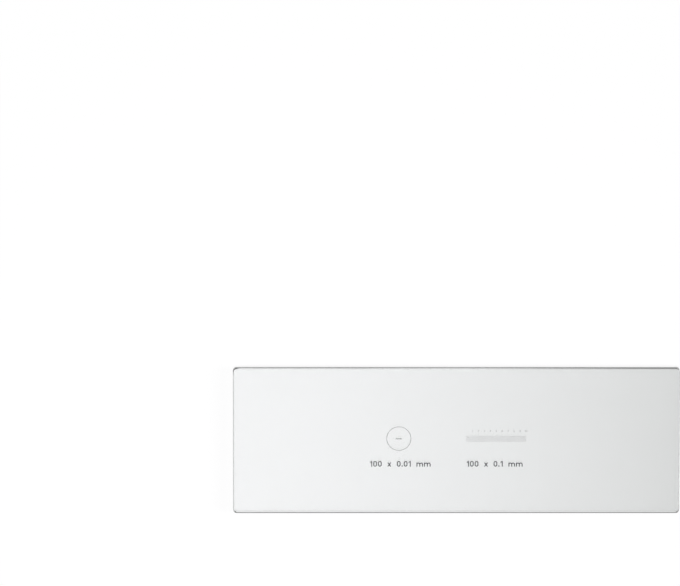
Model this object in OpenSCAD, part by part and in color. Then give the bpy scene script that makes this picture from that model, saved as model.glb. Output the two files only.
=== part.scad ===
// Microscope calibration slide: a ground-edge glass plate that carries two line scales, their
// numbers and legends, and a locating ring, all as thin film marks on its upper face.
// Sizes are in millimetres. The slide lies flat, with X along its length, Y across it and Z up.
// The origin is at the centre of the underside.

/* [Glass plate] */
// Length of the plate
slide_length = 75; // [60:0.5:90]
// Width of the plate
slide_width = 25; // [20:0.5:50]
// Thickness of the plate
slide_thickness = 1.1; // [0.8:0.05:2]
// Radius of the four upright corners
corner_radius = 0.6; // [0.3:0.05:2]
// Width of the ground 45 degree bevel round both faces
edge_bevel = 0.15; // [0.05:0.01:0.25]

/* [Film marks] */
// Thickness of the film that the marks are made of
film_thickness = 0.005; // [0.002:0.001:0.02]
// Place across the plate of the line on which the ring and both scales are set
marks_y = 0.38; // [-4:0.01:6]

/* [Locating ring] */
// Place along the plate of the ring and the fine scale inside it
ring_x = -9.65; // [-14:0.05:-7]
// Inner diameter of the ring
ring_bore = 4; // [2.5:0.1:5]
// Width of the ring's line
ring_line = 0.06; // [0.03:0.01:0.2]

/* [Fine scale] */
// Length of one division
fine_division = 0.01; // [0.01:0.005:0.02]
// Number of divisions
fine_divisions = 100; // [10:10:100]
// Width of one line
fine_line = 0.006; // [0.002:0.001:0.006]
// Height of an ordinary line
fine_short = 0.17; // [0.1:0.01:0.3]
// Height of every fifth line
fine_middle = 0.19; // [0.1:0.01:0.4]
// Height of every tenth line
fine_long = 0.21; // [0.1:0.01:0.5]
// Distance from the marks' line down to the feet of the lines
fine_drop = 0.12; // [0:0.01:0.3]

/* [Coarse scale] */
// Place along the plate of the first line
coarse_x = 1.7; // [-6:0.1:10]
// Length of one division
coarse_division = 0.1; // [0.05:0.01:0.12]
// Number of divisions
coarse_divisions = 100; // [10:10:150]
// Width of one line
coarse_line = 0.013; // [0.005:0.001:0.03]
// Height of an ordinary line
coarse_short = 1.05; // [0.3:0.05:1.5]
// Height of every fifth line
coarse_middle = 1.1; // [0.3:0.05:2]
// Height of every tenth line
coarse_long = 1.15; // [0.3:0.05:2]
// Distance from the marks' line down to the feet of the lines
coarse_drop = 0.56; // [0:0.01:2]

/* [Scale numbers] */
// Height of the numbers over every tenth line
number_height = 0.32; // [0.2:0.01:0.6]
// Width of their strokes
number_stroke = 0.022; // [0.01:0.001:0.05]
// Gap between the tallest lines and the feet of the numbers
number_gap = 0.56; // [0.05:0.01:1]

/* [Legends] */
// Height of the figures in the legends
legend_height = 0.95; // [0.6:0.05:1.6]
// Width of their strokes
legend_stroke = 0.16; // [0.06:0.01:0.18]
// Distance from the marks' line down to the legends' base line
legend_drop = 4.83; // [3:0.01:9]
// Distance from the middle of the fine scale back to the start of its legend
fine_legend_lead = 4.85; // [0:0.05:8]
// Distance from the first line of the coarse scale on to the start of its legend
coarse_legend_lead = 0.05; // [-5:0.05:5]

/* [Lettering] */
// Gap between two figures of a word, in figure heights
letter_gap = 0.18; // [0.08:0.01:0.4]
// Extra gap between two words, in figure heights
word_gap = 0.83; // [0.3:0.01:1.5]
// Width of a wide figure, in figure heights
figure_width = 0.66; // [0.5:0.01:0.8]
// Height of the small letters, in figure heights
small_letter = 0.73; // [0.6:0.01:0.8]

/* [Hidden] */
$fn = 96;
glass_colour = [0.9, 0.92, 0.91, 0.7];
film_colour = [0.16, 0.17, 0.18];
fine_length = fine_division * fine_divisions;
coarse_foot = marks_y - coarse_drop;
number_foot = coarse_foot + coarse_long + number_gap;
legend_foot = marks_y - legend_drop;
lines_between_numbers = 10;
// Number of straight sides that make up the ring's round line
ring_sides = 120;
// Widths of the figure 1 and the letter m in figure heights, and of the point in strokes
narrow_figure = 0.4;
wide_letter = 1.16;
point_width = 1.2;

// ---- Glass plate ----

// Half of the plate's section, from its middle out to an edge `reach` away, with both bevels
function edge_section(reach) = [
    [0, 0],
    [reach - edge_bevel, 0],
    [reach, edge_bevel],
    [reach, slide_thickness - edge_bevel],
    [reach - edge_bevel, slide_thickness],
    [0, slide_thickness]
];

// A bar of the plate's full section, `across` wide between its bevelled edges and `along` long
module bevelled_bar(across, along) {
    translate([0, along / 2, 0])
        rotate([90, 0, 0])
            linear_extrude(along)
                union() {
                    polygon(edge_section(across / 2));
                    mirror([1, 0])
                        polygon(edge_section(across / 2));
                }
}

// The plate: two crossed bars that hold its straight edges, and a turned disc in each corner
module glass_plate() {
    corner_x = slide_length / 2 - corner_radius;
    corner_y = slide_width / 2 - corner_radius;
    color(glass_colour)
        union() {
            bevelled_bar(slide_length, 2 * corner_y);
            rotate(90)
                bevelled_bar(slide_width, 2 * corner_x);
            for (x = [-corner_x, corner_x], y = [-corner_y, corner_y])
                translate([x, y, 0])
                    rotate_extrude()
                        polygon(edge_section(corner_radius));
        }
}

// ---- Film marks ----

// Lays a flat shape on the plate's upper face as film
module film() {
    color(film_colour)
        translate([0, 0, slide_thickness])
            linear_extrude(film_thickness)
                children();
}

// Height of line number i of a scale
function line_height(i, short, middle, long) =
    i % 10 == 0 ? long : i % 5 == 0 ? middle : short;

// A row of upright lines that all stand on one base line and start at x = 0
module line_scale(division, divisions, line, short, middle, long) {
    for (i = [0:divisions])
        translate([i * division - line / 2, 0])
            square([line, line_height(i, short, middle, long)]);
}

// Corners of a round outline of radius r
function round_outline(r) =
    [for (i = [0:ring_sides - 1]) r * [cos(i * 360 / ring_sides), sin(i * 360 / ring_sides)]];

// The ring that shows where to look for the fine scale
module locating_ring() {
    film()
        translate([ring_x, marks_y])
            difference() {
                polygon(round_outline(ring_bore / 2 + ring_line));
                polygon(round_outline(ring_bore / 2));
            }
}

// The fine scale, in the middle of the ring
module fine_scale() {
    film()
        translate([ring_x - fine_length / 2, marks_y - fine_drop])
            line_scale(
                fine_division, fine_divisions, fine_line, fine_short, fine_middle, fine_long
            );
}

// The coarse scale, on the same line as the fine one
module coarse_scale() {
    film()
        translate([coarse_x, coarse_foot])
            line_scale(
                coarse_division, coarse_divisions, coarse_line,
                coarse_short, coarse_middle, coarse_long
            );
}

// A number over every tenth line of the coarse scale
module scale_numbers() {
    film()
        for (n = [1:coarse_divisions / lines_between_numbers])
            translate([coarse_x + n * lines_between_numbers * coarse_division, number_foot])
                centred_word(str(n), number_height, number_stroke);
}

// How many divisions each scale has, and how long they are
module fine_scale_legend() {
    film()
        translate([ring_x - fine_legend_lead, legend_foot])
            word(str(fine_divisions, " x ", fine_division, " mm"), legend_height, legend_stroke);
}

module coarse_scale_legend() {
    film()
        translate([coarse_x + coarse_legend_lead, legend_foot])
            word(
                str(coarse_divisions, " x ", coarse_division, " mm"),
                legend_height, legend_stroke
            );
}

// ---- Lettering: w is a character's width, h its height and s its stroke; its foot is at y = 0 ----

// Inked width of one character
function ink_width(c, h, s) =
    c == "." ? point_width * s : h * (c == "1" ? narrow_figure : c == "m" ? wide_letter : figure_width);

// Distance from the start of one character to the start of the next
function advance(c, h, s) = c == " " ? word_gap * h : ink_width(c, h, s) + letter_gap * h;

// Start of character number i in a line of characters
function pen(line, i, h, s) = i == 0 ? 0 : pen(line, i - 1, h, s) + advance(line[i - 1], h, s);

module word(line, h, s) {
    for (i = [0:len(line) - 1])
        translate([pen(line, i, h, s), 0])
            character(line[i], h, s);
}

module centred_word(line, h, s) {
    width = pen(line, len(line), h, s) - letter_gap * h;
    translate([-width / 2, 0])
        word(line, h, s);
}

module character(c, h, s) {
    w = ink_width(c, h, s);
    if (c == "0") figure_0(w, h, s);
    if (c == "1") figure_1(w, h, s);
    if (c == "2") figure_2(w, h, s);
    if (c == "3") figure_3(w, h, s);
    if (c == "4") figure_4(w, h, s);
    if (c == "5") figure_5(w, h, s);
    if (c == "6") figure_6(w, h, s);
    if (c == "7") figure_7(w, h, s);
    if (c == "8") figure_8(w, h, s);
    if (c == "9") figure_9(w, h, s);
    if (c == ".") square(w);
    if (c == "x") letter_x(w, small_letter * h, s);
    if (c == "m") letter_m(w, small_letter * h, s);
}

// A straight stroke between two points
module stroke(from, to, s) {
    run = to - from;
    translate(from)
        rotate(atan2(run[1], run[0]))
            translate([0, -s / 2])
                square([norm(run), s]);
}

// A round stroke of middle radius r, drawn counterclockwise from one angle to another
module arc(centre, r, from, to, s) {
    steps = ceil((to - from) / 60);
    reach = 2 * (r + s);
    turn = (to - from) / steps;
    translate(centre)
        intersection() {
            difference() {
                circle(r + s / 2);
                circle(r - s / 2);
            }
            polygon(concat(
                [[0, 0]],
                [for (i = [0:steps]) reach * [cos(from + i * turn), sin(from + i * turn)]]
            ));
        }
}

// A closed round stroke
module hoop(centre, r, s) {
    translate(centre)
        difference() {
            circle(r + s / 2);
            circle(r - s / 2);
        }
}

// Middle radius of a round stroke that fills a figure's width, and of one that fills half its height
function wide_radius(w, s) = (w - s) / 2;
function half_radius(h, s) = (h - s) / 4;

module figure_0(w, h, s) {
    r = wide_radius(w, s);
    low = s / 2 + r;
    high = h - low;
    arc([w / 2, high], r, 0, 180, s);
    arc([w / 2, low], r, 180, 360, s);
    stroke([s / 2, low], [s / 2, high], s);
    stroke([w - s / 2, low], [w - s / 2, high], s);
}

module figure_1(w, h, s) {
    stem = w - s / 2;
    flag_foot = 0.74 * h;
    stroke([stem, 0], [stem, h], s);
    intersection() {
        square([w, h]);
        stroke([0, flag_foot], [stem, h - s / 3], s);
    }
}

module figure_2(w, h, s) {
    r = wide_radius(w, s);
    centre = [w / 2, h - s / 2 - r];
    hook = 165;
    foot = [s / 2, s / 2];
    run = foot - centre;
    leave = atan2(run[1], run[0]) + acos(r / norm(run));
    start = centre + r * [cos(leave), sin(leave)];
    lap = (foot - start) / norm(foot - start) * s / 50;
    arc(centre, r, leave, hook, s);
    stroke(start - lap, foot, s);
    stroke([0, s / 2], [w, s / 2], s);
}

module figure_3(w, h, s) {
    r = half_radius(h, s);
    hook = 150;
    arc([w / 2, h - s / 2 - r], r, -90, hook, s);
    arc([w / 2, s / 2 + r], r, -hook, 90, s);
    stroke([w / 2 - s, h / 2], [w / 2, h / 2], s);
}

module figure_4(w, h, s) {
    stem = 0.72 * w;
    rail = 0.27 * h;
    stroke([stem, 0], [stem, h], s);
    stroke([0, rail], [w, rail], s);
    intersection() {
        square([w, h]);
        stroke([s / 2, rail], [stem, h - s / 3], s);
    }
}

module figure_5(w, h, s) {
    r = wide_radius(w, s);
    centre = [w / 2, s / 2 + r];
    hook = -150;
    shoulder_turn = 140;
    shoulder = centre + r * [cos(shoulder_turn), sin(shoulder_turn)];
    arc(centre, r, hook, shoulder_turn, s);
    stroke(shoulder, [shoulder[0], h], s);
    stroke([shoulder[0] - s / 2, h - s / 2], [w - s / 2, h - s / 2], s);
}

module figure_6(w, h, s) {
    r = wide_radius(w, s);
    low = s / 2 + r;
    high = h - low;
    hook = 35;
    hoop([w / 2, low], r, s);
    stroke([s / 2, low], [s / 2, high], s);
    arc([w / 2, high], r, hook, 180, s);
}

module figure_7(w, h, s) {
    foot = 0.3 * w;
    stroke([0, h - s / 2], [w, h - s / 2], s);
    intersection() {
        square([w, h]);
        stroke([w - s / 2, h - s / 2], [foot, -s], s);
    }
}

module figure_8(w, h, s) {
    r = half_radius(h, s);
    hoop([w / 2, h - s / 2 - r], r, s);
    hoop([w / 2, s / 2 + r], r, s);
}

module figure_9(w, h, s) {
    translate([w, h])
        rotate(180)
            figure_6(w, h, s);
}

module letter_x(w, h, s) {
    intersection() {
        square([w, h]);
        union() {
            stroke([0, -s / 2], [w, h + s / 2], s);
            stroke([0, h + s / 2], [w, -s / 2], s);
        }
    }
}

module letter_m(w, h, s) {
    stems = [s / 2, w / 2, w - s / 2];
    r = (w - s) / 4;
    spring = h - s / 2 - r;
    stroke([stems[0], 0], [stems[0], h], s);
    for (i = [1, 2]) {
        stroke([stems[i], 0], [stems[i], spring], s);
        arc([stems[i] - r, spring], r, 0, 180, s);
    }
}

// ---- What is drawn ----

glass_plate();
locating_ring();
fine_scale();
coarse_scale();
scale_numbers();
fine_scale_legend();
coarse_scale_legend();
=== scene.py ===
"""Looks and studio stage of a glass calibration slide, built around its fixed frame.

Everything ends in metres: X runs along the slide, Y across it and Z up out of the marked face.
Small pieces are shaped in millimetres and brought to metres when they are finished.
"""
import math
from collections import namedtuple

import bmesh
import bpy
from mathutils import Matrix, Vector


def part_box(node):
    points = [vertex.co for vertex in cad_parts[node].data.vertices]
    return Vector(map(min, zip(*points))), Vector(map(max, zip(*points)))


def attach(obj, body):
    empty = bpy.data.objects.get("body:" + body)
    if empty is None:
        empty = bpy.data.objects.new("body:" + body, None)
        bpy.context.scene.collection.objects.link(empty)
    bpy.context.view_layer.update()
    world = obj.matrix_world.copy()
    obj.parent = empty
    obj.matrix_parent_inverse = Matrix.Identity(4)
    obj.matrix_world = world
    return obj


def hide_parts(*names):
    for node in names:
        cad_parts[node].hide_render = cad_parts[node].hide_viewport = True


bl_info = {
    "name": "Calibration Slide",
    "version": (1, 0, 0),
    "blender": (4, 5, 0),
    "location": "3D View > Sidebar > Slide",
    "description": "Ground-edge glass slide with line scales, numbers and legends, on a pale stage",
    "category": "Object",
}

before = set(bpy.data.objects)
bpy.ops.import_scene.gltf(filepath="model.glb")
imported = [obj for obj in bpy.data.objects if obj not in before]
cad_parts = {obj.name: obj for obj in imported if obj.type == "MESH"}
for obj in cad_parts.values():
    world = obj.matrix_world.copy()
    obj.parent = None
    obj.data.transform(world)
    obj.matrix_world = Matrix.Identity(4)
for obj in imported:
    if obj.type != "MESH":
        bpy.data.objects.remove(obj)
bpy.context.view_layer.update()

MM = 0.001
PLATE_LOW, PLATE_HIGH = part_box("glass_plate")

# ---- Fixed values: metres, and waves per metre, if nothing else is said ----

# How strongly the glass bends light, and how little the near lower bevel seems to; that bevel's
# clear, pale finish in place of the ground one is painted light
GLASS_IOR = 1.52
LIT_BEVEL_IOR = 1.05
# Brightest part of a wiped face and darkest part of the clear near lower bevel, against their tints
WIPED_TONE = 1.01
LIT_BEVEL_TONE = 0.96
# How far the roughness of ground glass strays both ways, and that of the clear near lower bevel
DULLNESS_SPREAD = 0.1
LIT_BEVEL_DULLNESS = (0.15, 0.25)
# The film: how metallic it is, how rough, and how far its mottle goes below and above its tint
FILM_METALLIC = 0.6
FILM_DULLNESS = (0.3, 0.42)
FILM_TONES = (0.8, 1.25)
# Noises on the surfaces: wiping haze, worn patches, grinding grain and the film's mottle
HAZE_SCALE = 90
PATCH_SCALE = 60
GRAIN_SCALE = 16000
MOTTLE_SCALE = 2500
# How many finer waves a noise carries, and the grain's, with the depth and strength of its bumps
NOISE_DETAIL = 3
GRAIN_DETAIL = 4
GRAIN_ROUGHNESS = 0.7
GRAIN_DEPTH = 0.000008
GRAIN_STRENGTH = 0.35
# Colour of the worn patches on ground glass, and how much of it they take on at most
WORN_GREY = (0.2, 0.2, 0.2)
WORN_SHARE = 0.2
# Where along the plate the painted light on the far bevel starts to fade to painted shade, and
# where it is all painted shade
PAINTED_LIGHT_FADE_START = -0.005
PAINTED_LIGHT_FADE_END = 0.042
# Where the painted shade on the far left corner starts and where it is whole, in corner radii from
# the edges
CORNER_SHADE_START = 2.0
CORNER_SHADE_WHOLE = 0.8
# The plate's finishes, in the order of its material slots
POLISHED, WALL, BEVEL, LIT_BEVEL = range(4)
# How far up or down a face looks if it is polished, and if it is a bevel, from 0 to 1
POLISHED_LEVEL = 0.9
BEVEL_LEVEL = 0.3
# How squarely the near side's faces look along Y
NEAR_SIDE = -0.7
# Edges sharper than the first get an arris; rounds are shaded smooth up to the second
ARRIS_ANGLE = math.radians(30)
SMOOTH_ANGLE = math.radians(25)
# Faces from this area on stay flat, in square millimetres
FLAT_AREA = 1.0
# Widths of the figure 1 and the letter m and the foot of the 1's flag, in figure heights
NARROW_FIGURE = 0.4
WIDE_LETTER = 1.16
FLAG_FOOT = 0.74
# Width of the full point, in strokes
POINT_WIDTH = 1.2
# Corners closer than this are one, in strokes
MERGE_WIDTH = 0.005
# Width of the floor, and how far its shaded part reaches round the slide
FLOOR_WIDTH = 12
SHADE_REACH = 0.1
# The floor seen past the slide and through it: its paint, and its glow near the slide and far off;
# the lower glow through the slide is a painted shadow of the glass
BARE_FLOOR = {"shade": 0.15, "glow": 0.865, "far_glow": 1.0}
SHADOWED_COVERED_FLOOR = {"shade": 0.12, "glow": 0.728, "far_glow": 0.8}
# How far to each side the soft lamps stand, how high, and how wide they are
LAMP_REACH = 1.0
LAMP_HEIGHT = 0.27
LAMP_WIDTH = 0.5
# The lit card over the slide, and its colour
CARD_PLACE = (0, -0.09, 0.42)
CARD_SIZE = (0.6, 0.24, 1)
CARD_COLOUR = (0.98, 0.96, 1.0)
# Where along the card its light starts to fall, where it is lowest, and that lowest strength
CARD_BRIGHT_END = -0.08005
CARD_DIM_END = 0.05205
CARD_DIM_GLOW = 0.1

# A pen for the legends, in millimetres, with the angle of one step of a turn
Nib = namedtuple("Nib", "width thickness turn_step")


# ---- Sizes and colours ----

class SlideGlassSettings(bpy.types.PropertyGroup):
    """The glass plate, the tones of its polished and ground finishes, and the light and shade
    painted on its bevels
    """
    corner_radius: bpy.props.FloatProperty(
        name="Corner Radius", description="Radius of the four upright corners",
        default=0.0006, min=0.0003, max=0.002, precision=5, unit="LENGTH")
    bevel_width: bpy.props.FloatProperty(
        name="Bevel Width", description="Width of the ground bevel round both faces",
        default=0.00015, min=0.00005, max=0.00025, precision=5, unit="LENGTH")
    arris_width: bpy.props.FloatProperty(
        name="Arris Width", description="Width of the worn line where two ground faces meet",
        default=0.000015, min=0.000005, max=0.00004, precision=6, unit="LENGTH")
    corner_steps: bpy.props.IntProperty(
        name="Corner Steps", description="Flat steps in each rounded corner",
        default=24, min=8, max=48)
    face_tint: bpy.props.FloatVectorProperty(
        name="Face Tint", description="Colour that the polished faces give to what is under them",
        default=(0.897, 0.908, 0.903), size=3, min=0.0, max=1.0, subtype="COLOR")
    wall_tint: bpy.props.FloatVectorProperty(
        name="Wall Tint", description="Colour of the ground walls and most of the lower bevel",
        default=(0.56, 0.568, 0.564), size=3, min=0.0, max=1.0, subtype="COLOR")
    end_tint: bpy.props.FloatVectorProperty(
        name="End Tint", description="Colour of the upper bevels at the two ends",
        default=(0.45, 0.457, 0.454), size=3, min=0.0, max=1.0, subtype="COLOR")
    # Painted shade: the near upper bevel is made nearly black
    near_painted_shade: bpy.props.FloatVectorProperty(
        name="Near Tint", description="Colour of the upper bevel under the legends",
        default=(0.03, 0.03, 0.03), size=3, min=0.0, max=1.0, subtype="COLOR")
    # Painted light: the far upper bevel is made nearly white at the left
    far_painted_light: bpy.props.FloatVectorProperty(
        name="Far Tint", description="Colour of the left part of the upper bevel over the marks",
        default=(0.97, 0.98, 0.975), size=3, min=0.0, max=1.0, subtype="COLOR")
    # Painted shade: the far upper bevel turns dark grey towards the right
    far_painted_shade: bpy.props.FloatVectorProperty(
        name="Far End Tint", description="Colour of the right part of that bevel",
        default=(0.2, 0.202, 0.2), size=3, min=0.0, max=1.0, subtype="COLOR")
    # Painted light: the near lower bevel is made pale and clear instead of ground
    lit_under_tint: bpy.props.FloatVectorProperty(
        name="Under Tint", description="Colour of the finer-ground near bevel of the underside",
        default=(0.98, 0.985, 0.98), size=3, min=0.0, max=1.0, subtype="COLOR")
    depth_tint: bpy.props.FloatVectorProperty(
        name="Depth Tint", description="Colour that light takes on deep in the glass",
        default=(0.70, 0.82, 0.78), size=3, min=0.0, max=1.0, subtype="COLOR")
    # Painted shade in the far left corner
    corner_painted_shade: bpy.props.FloatVectorProperty(
        name="Corner Tint", description="Colour of the rough-ground corner at the far left",
        default=(0.06, 0.06, 0.06), size=3, min=0.0, max=1.0, subtype="COLOR")
    depth_density: bpy.props.FloatProperty(
        name="Depth Density", description="How fast the glass colours the light inside it",
        default=22.0, min=0.0, max=100.0)
    ground_clearness: bpy.props.FloatProperty(
        name="Ground Clearness", description="Share of the light that ground glass lets through",
        default=0.3, min=0.0, max=1.0, subtype="FACTOR")
    ground_dullness: bpy.props.FloatProperty(
        name="Ground Dullness", description="Roughness of the ground glass",
        default=0.55, min=0.1, max=0.9, subtype="FACTOR")
    wiping_haze: bpy.props.FloatProperty(
        name="Wiping Haze", description="Roughness of the wiped patches on the polished faces",
        default=0.03, min=0.0, max=0.2, subtype="FACTOR")


class SlideMarkSettings(bpy.types.PropertyGroup):
    """The dark film marks"""
    film_tint: bpy.props.FloatVectorProperty(
        name="Film Tint", description="Colour of the dark chrome film",
        default=(0.045, 0.045, 0.05), size=3, min=0.0, max=1.0, subtype="COLOR")
    fine_legend: bpy.props.StringProperty(
        name="Fine Legend", description="Divisions of the fine scale and the length of one",
        default="100 x 0.01 mm")
    coarse_legend: bpy.props.StringProperty(
        name="Coarse Legend", description="Divisions of the coarse scale and the length of one",
        default="100 x 0.1 mm")
    stroke_width: bpy.props.FloatProperty(
        name="Stroke Width", description="Width of the strokes of the legends",
        default=0.00016, min=0.00006, max=0.00018, precision=5, unit="LENGTH")
    figure_width: bpy.props.FloatProperty(
        name="Figure Width", description="Width of a wide figure, in figure heights",
        default=0.66, min=0.5, max=0.8)
    small_letter: bpy.props.FloatProperty(
        name="Small Letter", description="Height of the small letters, in figure heights",
        default=0.73, min=0.6, max=0.8)
    letter_gap: bpy.props.FloatProperty(
        name="Letter Gap", description="Gap between two characters, in figure heights",
        default=0.18, min=0.08, max=0.4)
    word_gap: bpy.props.FloatProperty(
        name="Word Gap", description="Extra gap between two words, in figure heights",
        default=0.83, min=0.3, max=1.5)
    turn_step: bpy.props.FloatProperty(
        name="Turn Step", description="Angle of one step of a round stroke",
        default=math.radians(7.5), min=math.radians(3), max=math.radians(30), subtype="ANGLE")


class SlideStageSettings(bpy.types.PropertyGroup):
    """Camera, lamps and floor"""
    view_tilt: bpy.props.FloatProperty(
        name="View Tilt", description="Angle between the line of sight and straight down",
        default=math.radians(12.5), min=0.0, max=1.5, subtype="ANGLE")
    view_distance: bpy.props.FloatProperty(
        name="View Distance", description="Distance from the camera to the slide",
        default=2.0, min=0.5, max=10.0, unit="LENGTH")
    picture_width: bpy.props.FloatProperty(
        name="Picture Width", description="Width that the picture takes in at the slide",
        default=0.1142, min=0.05, max=1.0, precision=4, unit="LENGTH")
    picture_left: bpy.props.FloatProperty(
        name="Picture Left", description="How far the picture's middle lies left of the slide's",
        default=0.01953, min=-0.1, max=0.1, precision=5, unit="LENGTH")
    picture_rise: bpy.props.FloatProperty(
        name="Picture Rise", description="How far the picture's middle lies over the slide's",
        default=0.02482, min=-0.1, max=0.1, precision=5, unit="LENGTH")
    right_power: bpy.props.FloatProperty(
        name="Right Power", description="Power of the soft lamp at the right",
        default=11.0, min=0.0, max=100.0, unit="POWER")
    left_power: bpy.props.FloatProperty(
        name="Left Power", description="Power of the soft lamp at the left",
        default=8.0, min=0.0, max=100.0, unit="POWER")
    card_glow: bpy.props.FloatProperty(
        name="Card Glow", description="Strength of the lit card at its bright end",
        default=3.43, min=0.0, max=20.0)
    room_glow: bpy.props.FloatProperty(
        name="Room Glow", description="Strength of the room's light on the slide",
        default=0.25, min=0.0, max=2.0)
    floor_gap: bpy.props.FloatProperty(
        name="Floor Gap", description="Air between the underside and the floor",
        default=0.00003, min=0.00001, max=0.001, precision=5, unit="LENGTH")


# ---- Tools of the bench ----

def deselect_all():
    """Leaves nothing selected, in object mode"""
    if bpy.context.object and bpy.context.object.mode != "OBJECT":
        bpy.ops.object.mode_set(mode="OBJECT")
    bpy.ops.object.select_all(action="DESELECT")


def select_only(piece):
    deselect_all()
    piece.select_set(True)
    bpy.context.view_layer.objects.active = piece


def pick_edges(piece, wanted):
    """Selects, in edit mode, the edges for which wanted(start, end) holds, and nothing else"""
    bpy.ops.mesh.select_mode(type="EDGE")
    bpy.ops.mesh.select_all(action="DESELECT")
    shape = bmesh.from_edit_mesh(piece.data)
    for edge in shape.edges:
        if wanted(edge.verts[0].co, edge.verts[1].co):
            edge.select = True
    shape.select_flush_mode()
    bmesh.update_edit_mesh(piece.data)


def bring_to_metres(piece):
    """Turns a piece shaped in millimetres about the world's origin into metres"""
    select_only(piece)
    bpy.ops.object.transform_apply(location=True, rotation=True, scale=True)
    piece.scale = (MM, MM, MM)
    bpy.ops.object.transform_apply(location=True, rotation=True, scale=True)


def add_node(material, kind, place, **values):
    node = material.node_tree.nodes.new(kind)
    node.location = place
    for name, value in values.items():
        setattr(node, name, value)
    return node


def join_sockets(material, source, target):
    material.node_tree.links.new(source, target)


def new_material(name):
    """A material with an empty board and an output"""
    material = bpy.data.materials.new(name)
    material.use_nodes = True
    material.node_tree.nodes.clear()
    return material


def add_noise(material, place, scale, detail=NOISE_DETAIL, roughness=0.5):
    """Noise on the piece's own coordinates"""
    where = add_node(material, "ShaderNodeTexCoord", (place[0] - 200, place[1]))
    noise = add_node(material, "ShaderNodeTexNoise", place)
    noise.inputs["Scale"].default_value = scale
    noise.inputs["Detail"].default_value = detail
    noise.inputs["Roughness"].default_value = roughness
    join_sockets(material, where.outputs["Object"], noise.inputs["Vector"])
    return noise.outputs["Fac"]


def add_range(material, place, source, low, high, start=0.3, end=0.7):
    """Maps source from start to end, which suit a noise, to the range from low to high"""
    ranged = add_node(material, "ShaderNodeMapRange", place)
    ranged.inputs["From Min"].default_value = start
    ranged.inputs["From Max"].default_value = end
    ranged.inputs["To Min"].default_value = low
    ranged.inputs["To Max"].default_value = high
    join_sockets(material, source, ranged.inputs["Value"])
    return ranged.outputs["Result"]


def add_grain(material, place):
    """Fine noise, as the grinding wheel leaves"""
    return add_noise(material, place, GRAIN_SCALE, GRAIN_DETAIL, GRAIN_ROUGHNESS)


def add_mix(material, place, share, first, second):
    """Colour first, which gives way to second by share; each is a socket or a plain colour"""
    mix = add_node(material, "ShaderNodeMix", place, data_type="RGBA")
    join_sockets(material, share, mix.inputs["Factor"])
    for name, colour in (("A", first), ("B", second)):
        if isinstance(colour, bpy.types.NodeSocket):
            join_sockets(material, colour, mix.inputs[name])
        else:
            mix.inputs[name].default_value = (*colour, 1)
    return mix.outputs["Result"]


def scaled(colour, share):
    return tuple(min(1.0, part * share) for part in colour)


# ---- Finishes ----

def add_glass_depth(material, output, settings):
    """The faint green that glass gives to light that travels far inside it"""
    depth = add_node(material, "ShaderNodeVolumeAbsorption", (0, -400))
    depth.inputs["Color"].default_value = (*settings.depth_tint, 1)
    depth.inputs["Density"].default_value = settings.depth_density
    join_sockets(material, depth.outputs["Volume"], output.inputs["Volume"])


def polished_glass(settings):
    """Clear face: flat and bright, with a trace of wiping haze"""
    material = new_material("polished_glass")
    output = add_node(material, "ShaderNodeOutputMaterial", (300, 0))
    glass = add_node(material, "ShaderNodeBsdfPrincipled", (0, 0))
    glass.inputs["IOR"].default_value = GLASS_IOR
    glass.inputs["Transmission Weight"].default_value = 1.0
    haze = add_noise(material, (-600, 0), HAZE_SCALE)
    tint = add_mix(
        material, (-300, 100), haze,
        settings.face_tint, scaled(settings.face_tint, WIPED_TONE))
    join_sockets(material, tint, glass.inputs["Base Color"])
    wiped = add_range(material, (-300, -150), haze, 0, settings.wiping_haze)
    join_sockets(material, wiped, glass.inputs["Roughness"])
    join_sockets(material, glass.outputs["BSDF"], output.inputs["Surface"])
    add_glass_depth(material, output, settings)
    return material


def add_coordinates(material, place):
    """The piece's own X, Y and Z"""
    where = add_node(material, "ShaderNodeTexCoord", (place[0] - 200, place[1]))
    parts = add_node(material, "ShaderNodeSeparateXYZ", place)
    join_sockets(material, where.outputs["Object"], parts.inputs["Vector"])
    return parts.outputs


def add_rise(material, place, source, start, end):
    """0 before start and 1 past end, with a smooth rise between them"""
    rise = add_node(material, "ShaderNodeMapRange", place, interpolation_type="SMOOTHSTEP")
    rise.inputs["From Min"].default_value = start
    rise.inputs["From Max"].default_value = end
    join_sockets(material, source, rise.inputs["Value"])
    return rise.outputs["Result"]


def add_corner_shade_share(material, place, coordinates, reach):
    """Where painted shade goes: 1 on the rounded corner at the far left, which fades to 0 along the
    edges beside it
    """
    x, y = place
    both = add_node(material, "ShaderNodeMath", (x + 400, y), operation="MULTIPLY")
    for row, (axis, end) in enumerate((("X", PLATE_LOW.x), ("Y", PLATE_HIGH.y))):
        side = math.copysign(reach, end)
        share = add_rise(
            material, (x + 200, y - 200 * row), coordinates[axis],
            end - CORNER_SHADE_START * side, end - CORNER_SHADE_WHOLE * side)
        join_sockets(material, share, both.inputs[row])
    return both.outputs["Value"]


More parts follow.
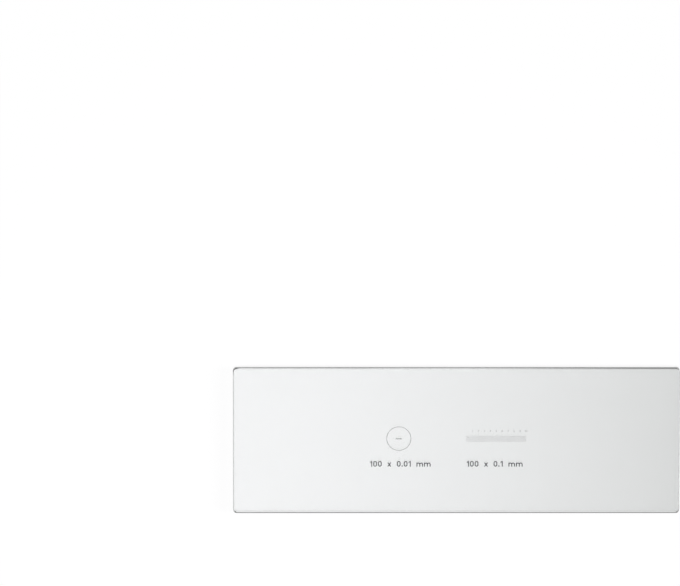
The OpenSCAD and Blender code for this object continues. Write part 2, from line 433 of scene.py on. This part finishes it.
def ground_glass(settings, name, tint):
    """Ground edge: dull grey, with the fine grain of the grinding wheel

    tint is a plain colour, or a maker of a colour socket from the material; for the upper bevels
    that maker paints light and shade on them.
    """
    material = new_material(name)
    output = add_node(material, "ShaderNodeOutputMaterial", (300, 0))
    glass = add_node(material, "ShaderNodeBsdfPrincipled", (0, 0))
    glass.inputs["IOR"].default_value = GLASS_IOR
    glass.inputs["Transmission Weight"].default_value = settings.ground_clearness
    sides = tint(settings, material) if callable(tint) else tint
    wear = add_noise(material, (-900, 700), PATCH_SCALE)
    patches = add_range(material, (-700, 700), wear, 0, WORN_SHARE)
    # For the upper bevels this colour is painted light and shade, with the worn patches over it
    worn = add_mix(material, (-500, 500), patches, sides, WORN_GREY)
    join_sockets(material, worn, glass.inputs["Base Color"])
    grain = add_grain(material, (-900, 0))
    dullness = settings.ground_dullness
    rough = add_range(
        material, (-300, -50), grain, dullness - DULLNESS_SPREAD, dullness + DULLNESS_SPREAD)
    join_sockets(material, rough, glass.inputs["Roughness"])
    bump = add_node(material, "ShaderNodeBump", (-300, -300))
    bump.inputs["Strength"].default_value = GRAIN_STRENGTH
    bump.inputs["Distance"].default_value = GRAIN_DEPTH
    join_sockets(material, grain, bump.inputs["Height"])
    join_sockets(material, bump.outputs["Normal"], glass.inputs["Normal"])
    join_sockets(material, glass.outputs["BSDF"], output.inputs["Surface"])
    add_glass_depth(material, output, settings)
    return material


def clear_bevel_glass(settings):
    """Near bevel of the underside: painted light, a clear, pale copy of the ground finish that lets
    the floor's light through
    """
    material = new_material("clear_bevel_glass")
    output = add_node(material, "ShaderNodeOutputMaterial", (300, 0))
    glass = add_node(material, "ShaderNodeBsdfPrincipled", (0, 0))
    glass.inputs["IOR"].default_value = LIT_BEVEL_IOR
    glass.inputs["Transmission Weight"].default_value = 1.0
    grain = add_grain(material, (-900, 0))
    tint = add_mix(
        material, (-300, 200), grain,
        settings.lit_under_tint, scaled(settings.lit_under_tint, LIT_BEVEL_TONE))
    join_sockets(material, tint, glass.inputs["Base Color"])
    rough = add_range(material, (-300, -50), grain, *LIT_BEVEL_DULLNESS)
    join_sockets(material, rough, glass.inputs["Roughness"])
    join_sockets(material, glass.outputs["BSDF"], output.inputs["Surface"])
    add_glass_depth(material, output, settings)
    return material


def paint_bevel_light_and_shade(settings, material):
    """Painted light and shade on the upper bevels: the ends alike, the near side painted dark, the
    far side painted light at the left that fades to painted shade at the right

    The corner at the far left gets painted shade.
    """
    coordinates = add_coordinates(material, (-1800, 500))
    start = PLATE_HIGH.y - 2 * settings.bevel_width
    end = PLATE_HIGH.y - settings.bevel_width
    # Painted shade on the near side, and painted light on the far side that fades to painted shade
    # towards the right
    near = add_rise(material, (-1600, 500), coordinates["Y"], -start, -end)
    far = add_rise(material, (-1600, 300), coordinates["Y"], start, end)
    along = add_rise(material, (-1600, 100), coordinates["X"], PAINTED_LIGHT_FADE_START, PAINTED_LIGHT_FADE_END)
    fading = add_mix(material, (-1400, 100), along, settings.far_painted_light, settings.far_painted_shade)
    tones = add_mix(material, (-1400, 500), near, settings.end_tint, settings.near_painted_shade)
    sides = add_mix(material, (-1200, 300), far, tones, fading)
    # Painted shade in the far left corner
    share = add_corner_shade_share(material, (-1600, 1000), coordinates, settings.corner_radius)
    return add_mix(material, (-1000, 500), share, sides, settings.corner_painted_shade)


def dark_chrome_film(settings):
    """Dark chrome film: nearly black, with a soft sheen and a faint mottle"""
    name = "dark_chrome_film"
    if name in bpy.data.materials:
        return bpy.data.materials[name]
    material = new_material(name)
    output = add_node(material, "ShaderNodeOutputMaterial", (300, 0))
    film = add_node(material, "ShaderNodeBsdfPrincipled", (0, 0))
    film.inputs["Metallic"].default_value = FILM_METALLIC
    mottle = add_noise(material, (-600, 0), MOTTLE_SCALE)
    dark, pale = (scaled(settings.film_tint, tone) for tone in FILM_TONES)
    tint = add_mix(material, (-300, 100), mottle, dark, pale)
    join_sockets(material, tint, film.inputs["Base Color"])
    sheen = add_range(material, (-300, -150), mottle, *FILM_DULLNESS)
    join_sockets(material, sheen, film.inputs["Roughness"])
    join_sockets(material, film.outputs["BSDF"], output.inputs["Surface"])
    return material


# ---- The glass plate ----

class SLIDE_OT_glass_plate(bpy.types.Operator):
    """Shape the glass plate with its round corners and ground bevels"""
    bl_idname = "slide.glass_plate"
    bl_label = "Glass Plate"
    bl_options = {"REGISTER", "UNDO"}

    def execute(self, context):
        settings = context.scene.slide_glass
        middle = (PLATE_LOW + PLATE_HIGH) / 2 / MM
        size = (PLATE_HIGH - PLATE_LOW) / MM
        top = PLATE_HIGH.z / MM
        deselect_all()
        bpy.ops.mesh.primitive_cube_add(size=1, location=middle)
        plate = context.object
        plate.name = "slide_glass"
        plate.scale = size
        bpy.ops.object.transform_apply(location=True, rotation=True, scale=True)
        bpy.ops.object.mode_set(mode="EDIT")
        pick_edges(plate, lambda a, b: abs(a.z - b.z) > size.z / 2)
        bpy.ops.mesh.bevel(
            offset=settings.corner_radius / MM, segments=settings.corner_steps,
            affect="EDGES", clamp_overlap=False)
        pick_edges(plate, lambda a, b: min(a.z, b.z) > top / 2 or max(a.z, b.z) < top / 2)
        bpy.ops.mesh.bevel(
            offset=settings.bevel_width / MM, segments=1, affect="EDGES", clamp_overlap=False)
        bpy.ops.mesh.select_all(action="SELECT")
        bpy.ops.mesh.normals_make_consistent(inside=False)
        bpy.ops.object.mode_set(mode="OBJECT")

        self.finish_faces(settings, plate)
        self.wear_arrises(settings, plate)
        bring_to_metres(plate)
        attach(plate, "root")
        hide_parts("glass_plate")
        return {"FINISHED"}

    def finish_faces(self, settings, plate):
        """Polishes the two large faces and grinds the rest; the upper bevels get painted light and
        shade, and the near lower bevel a clear, pale finish that is painted light
        """
        finishes = {
            POLISHED: polished_glass(settings),
            WALL: ground_glass(settings, "ground_wall_glass", settings.wall_tint),
            # The upper bevels get painted light and shade
            BEVEL: ground_glass(settings, "ground_bevel_glass", paint_bevel_light_and_shade),
            LIT_BEVEL: clear_bevel_glass(settings),
        }
        for material in finishes.values():
            plate.data.materials.append(material)
        for face in plate.data.polygons:
            level = face.normal.z
            if abs(level) > POLISHED_LEVEL:
                face.material_index = POLISHED
            elif level > BEVEL_LEVEL:
                face.material_index = BEVEL
            # The near lower bevel gets a clear, pale finish, which is painted light
            elif level < -BEVEL_LEVEL and face.normal.y < NEAR_SIDE:
                face.material_index = LIT_BEVEL
            else:
                face.material_index = WALL

    def wear_arrises(self, settings, plate):
        """Rounds the lines where two ground faces meet, and keeps the large faces flat"""
        arris = plate.modifiers.new("arris", "BEVEL")
        arris.width = settings.arris_width / MM
        arris.segments = 2
        arris.limit_method = "ANGLE"
        arris.angle_limit = ARRIS_ANGLE
        arris.use_clamp_overlap = False
        bpy.ops.object.modifier_apply(modifier=arris.name)
        bpy.ops.object.shade_smooth_by_angle(angle=SMOOTH_ANGLE)
        for face in plate.data.polygons:
            face.use_smooth = face.area < FLAT_AREA


# ---- Lettering ----

def edit_all(piece):
    """Opens a piece in edit mode with all of it selected"""
    select_only(piece)
    bpy.ops.object.mode_set(mode="EDIT")
    bpy.ops.mesh.select_mode(type="FACE")
    bpy.ops.mesh.select_all(action="SELECT")


def draw_stroke(nib, start, heading, moves):
    """Draws a flat stroke as closed film: a nib's end face runs ahead and turns about a centre

    moves are ("run", length) and ("turn", radius of the stroke's middle, angle to the left).
    """
    place = Vector((*start, nib.thickness / 2))
    deselect_all()
    bpy.ops.mesh.primitive_plane_add(
        size=1, location=place, rotation=(math.radians(90), 0, heading - math.radians(90)))
    stroke = bpy.context.object
    stroke.scale = (nib.width, nib.thickness, 1)
    bpy.ops.object.transform_apply(location=True, rotation=True, scale=True)
    edit_all(stroke)
    for kind, reach, *turn in moves:
        ahead = Vector((math.cos(heading), math.sin(heading), 0))
        if kind == "run":
            bpy.ops.mesh.extrude_region_move(TRANSFORM_OT_translate={"value": ahead * reach})
            place = place + ahead * reach
        else:
            side = math.copysign(1, turn[0])
            centre = place + side * reach * Vector((-ahead.y, ahead.x, 0))
            bpy.ops.mesh.spin(
                steps=round(abs(turn[0]) / nib.turn_step), angle=abs(turn[0]), center=centre,
                axis=(0, 0, -side))
            place = centre + Matrix.Rotation(turn[0], 3, "Z") @ (place - centre)
            heading = heading + turn[0]
    bpy.ops.mesh.select_all(action="SELECT")
    bpy.ops.mesh.remove_doubles(threshold=nib.width * MERGE_WIDTH)
    bpy.ops.mesh.select_all(action="DESELECT")
    bpy.ops.mesh.select_interior_faces()
    bpy.ops.mesh.delete(type="FACE")
    bpy.ops.mesh.select_all(action="SELECT")
    bpy.ops.mesh.normals_make_consistent(inside=False)
    bpy.ops.object.mode_set(mode="OBJECT")
    return stroke


def cut_off(piece, place, outward):
    """Cuts off what stands past a straight line, and closes the cut"""
    edit_all(piece)
    bpy.ops.mesh.bisect(
        plane_co=(*place, 0), plane_no=(*outward, 0), use_fill=True, clear_outer=True)
    bpy.ops.object.mode_set(mode="OBJECT")


def weld(nib, first, *others):
    """Joins crossing strokes into one closed piece, and clears the slivers from the joints"""
    for other in others:
        select_only(first)
        joint = first.modifiers.new("joint", "BOOLEAN")
        joint.operation = "UNION"
        joint.solver = "MANIFOLD"
        joint.object = other
        bpy.ops.object.modifier_apply(modifier=joint.name)
        bpy.data.objects.remove(other)
    # The union leaves an empty material slot
    first.data.materials.clear()
    edit_all(first)
    bpy.ops.mesh.remove_doubles(threshold=nib.width * MERGE_WIDTH)
    bpy.ops.mesh.dissolve_degenerate(threshold=nib.width * MERGE_WIDTH)
    bpy.ops.mesh.select_all(action="SELECT")
    bpy.ops.mesh.delete_loose()
    bpy.ops.object.mode_set(mode="OBJECT")
    return first


def figure_nought(nib, wide, high):
    """Two straight sides joined by two half rounds"""
    middle = (wide - nib.width) / 2
    side = high - wide
    half_round = ("turn", middle, -math.pi)
    return draw_stroke(
        nib, (nib.width / 2, wide / 2), math.radians(90),
        (("run", side), half_round, ("run", side), half_round))


def figure_one(nib, wide, high):
    """A stem with a sloping flag that starts at the left edge"""
    stem = draw_stroke(nib, (wide - nib.width / 2, 0), math.radians(90), (("run", high),))
    tip = Vector((wide - nib.width / 2, high - nib.width / 3))
    slope = tip - Vector((0, FLAG_FOOT * high))
    flag = draw_stroke(
        nib, (0, FLAG_FOOT * high), math.atan2(slope.y, slope.x), (("run", slope.length),))
    cut_off(flag, (0, 0), (-1, 0))
    cut_off(flag, (0, high), (0, 1))
    return weld(nib, stem, flag)


def full_point(nib, wide, high):
    """A small square on the base line"""
    square = nib._replace(width=wide)
    return draw_stroke(square, (wide / 2, 0), math.radians(90), (("run", high),))


def letter_x(nib, wide, high):
    """Two crossed arms, cut off level at the foot and the head"""
    arms = []
    for way in (1, -1):
        slope = Vector((way * wide, high + nib.width))
        start = Vector((wide / 2, high / 2)) - slope / 2
        arm = draw_stroke(
            nib, start, math.atan2(slope.y, slope.x), (("run", slope.length),))
        for place, outward in (((0, 0), (0, -1)), ((0, high), (0, 1)), ((0, 0), (-1, 0)),
                               ((wide, 0), (1, 0))):
            cut_off(arm, place, outward)
        arms.append(arm)
    return weld(nib, *arms)


def letter_m(nib, wide, high):
    """A stem and two hooks, each of which springs back to the stem before it"""
    middle = (wide - nib.width) / 4
    spring = high - nib.width / 2 - middle
    stem = draw_stroke(nib, (nib.width / 2, 0), math.radians(90), (("run", high),))
    hooks = [
        draw_stroke(
            nib, (foot, 0), math.radians(90), (("run", spring), ("turn", middle, math.pi)))
        for foot in (wide / 2, wide - nib.width / 2)
    ]
    return weld(nib, stem, *hooks)


class SLIDE_OT_legends(bpy.types.Operator):
    """Draw the two legends under the scales"""
    bl_idname = "slide.legends"
    bl_label = "Legends"
    bl_options = {"REGISTER", "UNDO"}

    def execute(self, context):
        settings = context.scene.slide_marks
        low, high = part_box("fine_scale_legend")
        figure_height = (high.y - low.y) / MM
        nib = Nib(settings.stroke_width / MM, (high.z - low.z) / MM, settings.turn_step)
        case = self.cut_characters(settings, nib, figure_height)
        places = (
            ("fine_legend", settings.fine_legend, "fine_scale_legend"),
            ("coarse_legend", settings.coarse_legend, "coarse_scale_legend"),
        )
        for name, words, node in places:
            legend = self.set_line(settings, case, words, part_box(node)[0] / MM, figure_height)
            legend.name = name
            legend.data.materials.append(dark_chrome_film(settings))
            bring_to_metres(legend)
            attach(legend, "root")
            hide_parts(node)
        for character, _ in case.values():
            bpy.data.objects.remove(character)
        return {"FINISHED"}

    def cut_characters(self, settings, nib, figure_height):
        """One of each character, with its width, by its letter"""
        small = settings.small_letter * figure_height
        point = POINT_WIDTH * nib.width
        patterns = {
            "0": (figure_nought, settings.figure_width * figure_height, figure_height),
            "1": (figure_one, NARROW_FIGURE * figure_height, figure_height),
            ".": (full_point, point, point),
            "x": (letter_x, settings.figure_width * figure_height, small),
            "m": (letter_m, WIDE_LETTER * figure_height, small),
        }
        return {
            letter: (draw(nib, wide, high), wide)
            for letter, (draw, wide, high) in patterns.items()
        }

    def set_line(self, settings, case, words, start, figure_height):
        """Copies of the characters side by side from the start on, joined into one piece"""
        pen = 0
        line = []
        for letter in words:
            if letter == " ":
                pen += settings.word_gap * figure_height
                continue
            if letter not in case:
                raise ValueError("no character is drawn for " + letter)
            character, wide = case[letter]
            copy = character.copy()
            copy.data = character.data.copy()
            copy.location = start + Vector((pen, 0, 0))
            bpy.context.collection.objects.link(copy)
            line.append(copy)
            pen += wide + settings.letter_gap * figure_height
        deselect_all()
        for copy in line:
            copy.select_set(True)
        bpy.context.view_layer.objects.active = line[0]
        bpy.ops.object.transform_apply(location=True, rotation=True, scale=True)
        bpy.ops.object.join()
        bpy.ops.object.shade_smooth_by_angle(angle=SMOOTH_ANGLE)
        return bpy.context.object


class SLIDE_OT_line_marks(bpy.types.Operator):
    """Give the ring, both scales and the numbers their film finish"""
    bl_idname = "slide.line_marks"
    bl_label = "Ring, Scales and Numbers"
    bl_options = {"REGISTER", "UNDO"}

    def execute(self, context):
        film = dark_chrome_film(context.scene.slide_marks)
        for name in ("locating_ring", "fine_scale", "coarse_scale", "scale_numbers"):
            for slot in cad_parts[name].material_slots:
                slot.material = film
        return {"FINISHED"}


# ---- Stage ----

def seen_rays(material, place):
    """1 for rays that the eye follows straight, by mirror or through glass; 0 for the rest"""
    path = add_node(material, "ShaderNodeLightPath", place)
    first = add_node(material, "ShaderNodeMath", (place[0] + 200, place[1]), operation="MAXIMUM")
    second = add_node(material, "ShaderNodeMath", (place[0] + 400, place[1]), operation="MAXIMUM")
    join_sockets(material, path.outputs["Is Camera Ray"], first.inputs[0])
    join_sockets(material, path.outputs["Is Glossy Ray"], first.inputs[1])
    join_sockets(material, first.outputs["Value"], second.inputs[0])
    join_sockets(material, path.outputs["Is Transmission Ray"], second.inputs[1])
    return second.outputs["Value"]


def add_nearness(material, place):
    """1 on the floor under and round the slide, which fades to 0 further out"""
    x, y = place
    where = add_node(material, "ShaderNodeTexCoord", (x - 200, y))
    reach = add_node(material, "ShaderNodeMapping", (x, y))
    reach.inputs["Scale"].default_value = (1 / SHADE_REACH, 1 / SHADE_REACH, 1 / SHADE_REACH)
    join_sockets(material, where.outputs["Object"], reach.inputs["Vector"])
    fall = add_node(material, "ShaderNodeTexGradient", (x + 200, y), gradient_type="SPHERICAL")
    join_sockets(material, reach.outputs["Vector"], fall.inputs["Vector"])
    return add_rise(material, (x + 400, y), fall.outputs["Fac"], 0.0, 0.5)


def add_sheet(material, place, near, shade, glow, far_glow):
    """A dark sheet that takes the slide's shadow, with a glow that makes it pale again"""
    x, y = place
    sheet = add_node(material, "ShaderNodeBsdfDiffuse", (x + 200, y))
    dark = add_mix(material, (x, y), near, (0, 0, 0), (shade, shade, shade))
    join_sockets(material, dark, sheet.inputs["Color"])
    light = add_node(material, "ShaderNodeEmission", (x + 200, y - 200))
    pale = add_mix(
        material, (x, y - 200), near, (far_glow, far_glow, far_glow), (glow, glow, glow))
    join_sockets(material, pale, light.inputs["Color"])
    both = add_node(material, "ShaderNodeAddShader", (x + 400, y - 100))
    join_sockets(material, sheet.outputs["BSDF"], both.inputs[0])
    join_sockets(material, light.outputs["Emission"], both.inputs[1])
    return both.outputs["Shader"]


def add_choice(material, place, share, first, second):
    """Shader first, which gives way to second by share"""
    choice = add_node(material, "ShaderNodeMixShader", place)
    join_sockets(material, share, choice.inputs["Fac"])
    join_sockets(material, first, choice.inputs[1])
    join_sockets(material, second, choice.inputs[2])
    return choice.outputs["Shader"]


def white_floor():
    """A white sheet that keeps the slide's shadow and stays white round it and far from it; seen
    through the glass it glows less, which is a painted shadow of the glass
    """
    material = new_material("white_floor")
    output = add_node(material, "ShaderNodeOutputMaterial", (600, 0))
    plain = add_node(material, "ShaderNodeBsdfDiffuse", (0, 200))
    plain.inputs["Color"].default_value = (0.8, 0.8, 0.8, 1)
    near = add_nearness(material, (-1200, -100))
    path = add_node(material, "ShaderNodeLightPath", (0, 0))
    bare = add_sheet(material, (-400, -100), near, **BARE_FLOOR)
    # Seen through the glass the sheet glows less: a painted shadow of the glass
    covered_painted_shadow = add_sheet(material, (-400, -500), near, **SHADOWED_COVERED_FLOOR)
    seen = add_choice(
        material, (200, -100), path.outputs["Is Transmission Ray"], bare, covered_painted_shadow)
    whole = add_choice(
        material, (400, 0), seen_rays(material, (-600, 400)), plain.outputs["BSDF"], seen)
    join_sockets(material, whole, output.inputs["Surface"])
    return material


def fading_card(settings):
    """A lit card that is brightest near its left end and fades to the right"""
    material = new_material("fading_card")
    output = add_node(material, "ShaderNodeOutputMaterial", (600, 0))
    where = add_node(material, "ShaderNodeTexCoord", (-800, 0))
    along = add_node(material, "ShaderNodeMapping", (-600, 0))
    rate = 1 / (CARD_DIM_END - CARD_BRIGHT_END)
    along.inputs["Location"].default_value = (-CARD_BRIGHT_END * rate, 0, 0)
    along.inputs["Scale"].default_value = (rate, 1, 1)
    join_sockets(material, where.outputs["Object"], along.inputs["Vector"])
    fall = add_node(material, "ShaderNodeTexGradient", (-400, 0), gradient_type="QUADRATIC")
    join_sockets(material, along.outputs["Vector"], fall.inputs["Vector"])
    strength = add_range(
        material, (-200, 0), fall.outputs["Fac"], settings.card_glow, CARD_DIM_GLOW, 0, 1)
    light = add_node(material, "ShaderNodeEmission", (300, 0))
    light.inputs["Color"].default_value = (*CARD_COLOUR, 1)
    join_sockets(material, strength, light.inputs["Strength"])
    join_sockets(material, light.outputs["Emission"], output.inputs["Surface"])
    return material


class SLIDE_OT_stage(bpy.types.Operator):
    """Set up the floor, the lamps, the surroundings and the camera"""
    bl_idname = "slide.stage"
    bl_label = "Stage"
    bl_options = {"REGISTER", "UNDO"}

    def execute(self, context):
        settings = context.scene.slide_stage
        self.floor(settings)
        self.card(settings)
        self.lamps(settings)
        self.surroundings(context, settings)
        self.camera(context, settings)
        context.scene.view_settings.view_transform = "Standard"
        return {"FINISHED"}

    def floor(self, settings):
        deselect_all()
        bpy.ops.mesh.primitive_plane_add(
            size=FLOOR_WIDTH, location=(0, 0, PLATE_LOW.z - settings.floor_gap))
        floor = bpy.context.object
        floor.name = "floor"
        floor.data.materials.append(white_floor())

    def card(self, settings):
        deselect_all()
        bpy.ops.mesh.primitive_plane_add(size=1, location=CARD_PLACE)
        card = bpy.context.object
        card.name = "fading_card"
        card.scale = CARD_SIZE
        bpy.ops.object.transform_apply(location=False, rotation=False, scale=True)
        card.data.materials.append(fading_card(settings))
        card.visible_camera = False

    def lamps(self, settings):
        lamps = (
            ("right_softbox", LAMP_REACH, settings.right_power),
            ("left_softbox", -LAMP_REACH, settings.left_power),
        )
        for name, side, power in lamps:
            place = (side, 0, LAMP_HEIGHT)
            deselect_all()
            bpy.ops.object.light_add(type="AREA", location=place)
            lamp = bpy.context.object
            lamp.name = name
            lamp.data.size = LAMP_WIDTH
            lamp.data.energy = power
            lamp.rotation_euler = (-Vector(place)).to_track_quat("-Z", "Y").to_euler()

    def surroundings(self, context, settings):
        world = bpy.data.worlds.new("pale_room")
        context.scene.world = world
        world.use_nodes = True
        world.node_tree.nodes.clear()
        output = add_node(world, "ShaderNodeOutputWorld", (600, 0))
        room = add_node(world, "ShaderNodeBackground", (200, 100))
        room.inputs["Color"].default_value = (1, 1, 1, 1)
        room.inputs["Strength"].default_value = settings.room_glow
        white = add_node(world, "ShaderNodeBackground", (200, -100))
        white.inputs["Color"].default_value = (1, 1, 1, 1)
        white.inputs["Strength"].default_value = 1.0
        whole = add_choice(
            world, (400, 0), seen_rays(world, (-600, 200)),
            room.outputs["Background"], white.outputs["Background"])
        join_sockets(world, whole, output.inputs["Surface"])

    def camera(self, context, settings):
        tilt = settings.view_tilt
        rise = settings.picture_rise
        aim = Vector((
            (PLATE_LOW.x + PLATE_HIGH.x) / 2 - settings.picture_left,
            (PLATE_LOW.y + PLATE_HIGH.y) / 2 + rise * math.cos(tilt),
            PLATE_HIGH.z - rise * math.sin(tilt),
        ))
        back = Vector((0, math.sin(tilt), math.cos(tilt)))
        deselect_all()
        bpy.ops.object.camera_add(
            location=aim + back * settings.view_distance, rotation=(-tilt, 0, 0))
        camera = context.object
        camera.name = "camera"
        camera.data.lens = (
            camera.data.sensor_width * settings.view_distance / settings.picture_width)
        context.scene.camera = camera


# ---- Panel ----

class SLIDE_PT_panel(bpy.types.Panel):
    """Lists the slide's pieces and settings"""
    bl_idname = "SLIDE_PT_panel"
    bl_label = "Calibration Slide"
    bl_space_type = "VIEW_3D"
    bl_region_type = "UI"
    bl_category = "Slide"

    def draw(self, context):
        groups = (
            (context.scene.slide_glass, (SLIDE_OT_glass_plate,)),
            (context.scene.slide_marks, (SLIDE_OT_legends, SLIDE_OT_line_marks)),
            (context.scene.slide_stage, (SLIDE_OT_stage,)),
        )
        for settings, steps in groups:
            box = self.layout.box()
            for name in type(settings).__annotations__:
                box.prop(settings, name)
            for step in steps:
                box.operator(step.bl_idname)


CLASSES = (
    SlideGlassSettings,
    SlideMarkSettings,
    SlideStageSettings,
    SLIDE_OT_glass_plate,
    SLIDE_OT_legends,
    SLIDE_OT_line_marks,
    SLIDE_OT_stage,
    SLIDE_PT_panel,
)


def register():
    for cls in CLASSES:
        bpy.utils.register_class(cls)
    bpy.types.Scene.slide_glass = bpy.props.PointerProperty(type=SlideGlassSettings)
    bpy.types.Scene.slide_marks = bpy.props.PointerProperty(type=SlideMarkSettings)
    bpy.types.Scene.slide_stage = bpy.props.PointerProperty(type=SlideStageSettings)


def unregister():
    del bpy.types.Scene.slide_stage
    del bpy.types.Scene.slide_marks
    del bpy.types.Scene.slide_glass
    for cls in reversed(CLASSES):
        bpy.utils.unregister_class(cls)


def main():
    register()
    bpy.ops.slide.glass_plate()
    bpy.ops.slide.legends()
    bpy.ops.slide.line_marks()
    bpy.ops.slide.stage()


if __name__ == "__main__":
    main()
